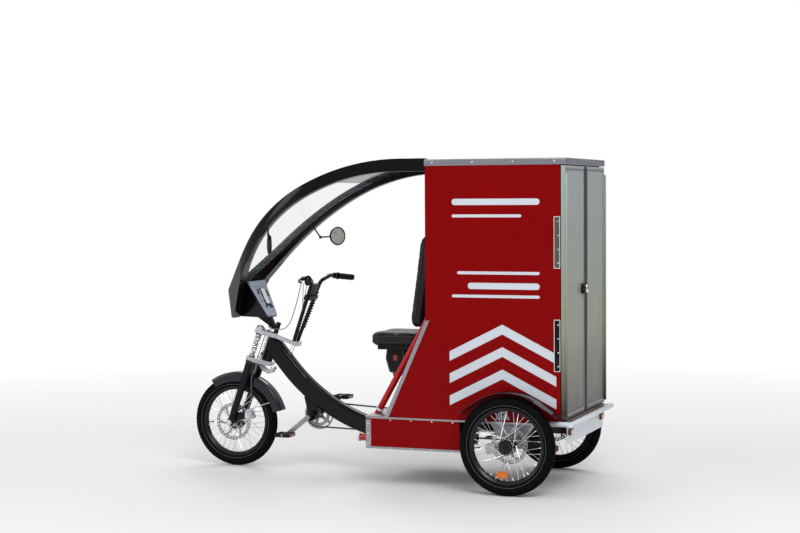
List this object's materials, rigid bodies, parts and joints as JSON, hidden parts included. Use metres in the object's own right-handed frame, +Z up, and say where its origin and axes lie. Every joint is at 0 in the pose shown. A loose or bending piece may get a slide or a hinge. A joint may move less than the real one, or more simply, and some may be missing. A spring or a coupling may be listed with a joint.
{
  "type": "cargo tricycle with canopy and closed cargo box",
  "caption": "Pedal cargo tricycle: a sprung front wheel under a curved canopy with a windshield, a rider's seat, and a tall box with rear doors between spoked rear wheels.",
  "frame": {"origin": "on the ground, under the middle of the vehicle's overall length and width", "axes": "+X forward, +Y to the rider's left, +Z up"},
  "size_m": [2.447, 1.075, 1.797],
  "materials": {
    "red_paint": "satin",
    "black_paint": "satin",
    "black_gloss": "gloss",
    "black_plastic": "matte",
    "white_paint": "satin",
    "aluminium": "satin",
    "chrome": "polished",
    "chain_steel": "oiled",
    "rim_black": "satin",
    "tyre": "matte",
    "seat_vinyl": "satin",
    "console_grey": "satin",
    "red_lens": "gloss",
    "door_finish": "satin",
    "floor_board": "matte",
    "clear_glazing": "clear",
    "tinted_glazing": "clear"
  },
  "bodies": {
    "frame": {"main_beam": "black_paint", "head_spindle": "black_paint", "chassis_rails": "black_paint", "base_frame": "aluminium", "cargo_floor": "floor_board", "front_wall": "red_paint", "side_panel_left": "red_paint", "side_panel_right": "red_paint", "cargo_roof": "aluminium", "roof_cap": "aluminium", "edge_trims": "aluminium", "hinge_leaves": "black_paint", "skirts": "red_paint", "skirt_rails": "aluminium", "deck_plate": "aluminium", "rear_axle": "black_paint", "axle_hangers": "aluminium", "rear_mudguards": "black_plastic", "bumper": "white_paint", "tail_plate": "white_paint", "tail_lamps": "red_lens", "seat_cushion": "seat_vinyl", "backrest": "seat_vinyl", "back_brackets": "black_paint", "seat_frame": "black_paint", "battery_unit": "black_plastic", "red_tubes": "red_paint", "canopy_arch_left": "black_gloss", "canopy_arch_right": "black_gloss", "nose_pod": "black_gloss", "console": "console_grey", "canopy_roof": "tinted_glazing", "windshield": "clear_glazing", "mirrors": "black_plastic", "chain": "chain_steel", "tube_rings": "white_paint", "rear_calipers": "aluminium"},
    "steering": {"upper_crown": "aluminium", "lower_crown": "aluminium", "fork_springs": "chrome", "fork_legs": "black_paint", "front_mudguard": "black_gloss", "handlebar": "black_paint", "grips": "black_plastic", "brake_levers": "black_plastic", "brake_hose": "black_plastic", "handlebar_display": "black_plastic", "front_caliper": "aluminium"},
    "wheel_front": {"front_tyre": "tyre", "front_wheel": "rim_black"},
    "wheel_left": {"rear_left_tyre": "tyre", "rear_left_wheel": "rim_black"},
    "wheel_right": {"rear_right_tyre": "tyre", "rear_right_wheel": "rim_black"},
    "crank": {"crank_set": "chain_steel"},
    "left_pedal": {"pedal_left": "black_plastic"},
    "right_pedal": {"pedal_right": "black_plastic"},
    "left_door": {"door_left": "door_finish", "door_latch": "chrome"},
    "right_door": {"door_right": "door_finish"}
  },
  "joints": [
    {"name": "steering_turn", "type": "hinge", "parent": "frame", "child": "steering", "pos_m": [0.98482, 0, 0], "axis": [-0.3387, 0, 0.9409], "range_deg": [-35, 35]},
    {"name": "front_wheel_spin", "type": "hinge", "parent": "steering", "child": "wheel_front", "pos_m": [0.9585, 0, 0.265], "axis": [0, 1, 0], "continuous": true},
    {"name": "left_wheel_spin", "type": "hinge", "parent": "frame", "child": "wheel_left", "pos_m": [-0.8745, 0.4935, 0.265], "axis": [0, 1, 0], "continuous": true},
    {"name": "right_wheel_spin", "type": "hinge", "parent": "frame", "child": "wheel_right", "pos_m": [-0.8745, -0.4935, 0.265], "axis": [0, 1, 0], "continuous": true},
    {"name": "crank_spin", "type": "hinge", "parent": "frame", "child": "crank", "pos_m": [0.4555, 0, 0.316], "axis": [0, 1, 0], "continuous": true},
    {"name": "left_pedal_spin", "type": "hinge", "parent": "crank", "child": "left_pedal", "pos_m": [0.57829, 0.152, 0.21657], "axis": [0, 1, 0], "continuous": true},
    {"name": "right_pedal_spin", "type": "hinge", "parent": "crank", "child": "right_pedal", "pos_m": [0.33271, -0.152, 0.41543], "axis": [0, 1, 0], "continuous": true},
    {"name": "left_door_swing", "type": "hinge", "parent": "frame", "child": "left_door", "pos_m": [-1.18, 0.422, 0.409], "axis": [0, 0, -1], "range_deg": [0, 180]},
    {"name": "right_door_swing", "type": "hinge", "parent": "frame", "child": "right_door", "pos_m": [-1.18, -0.422, 0.409], "axis": [0, 0, 1], "range_deg": [0, 180]}
  ]
}
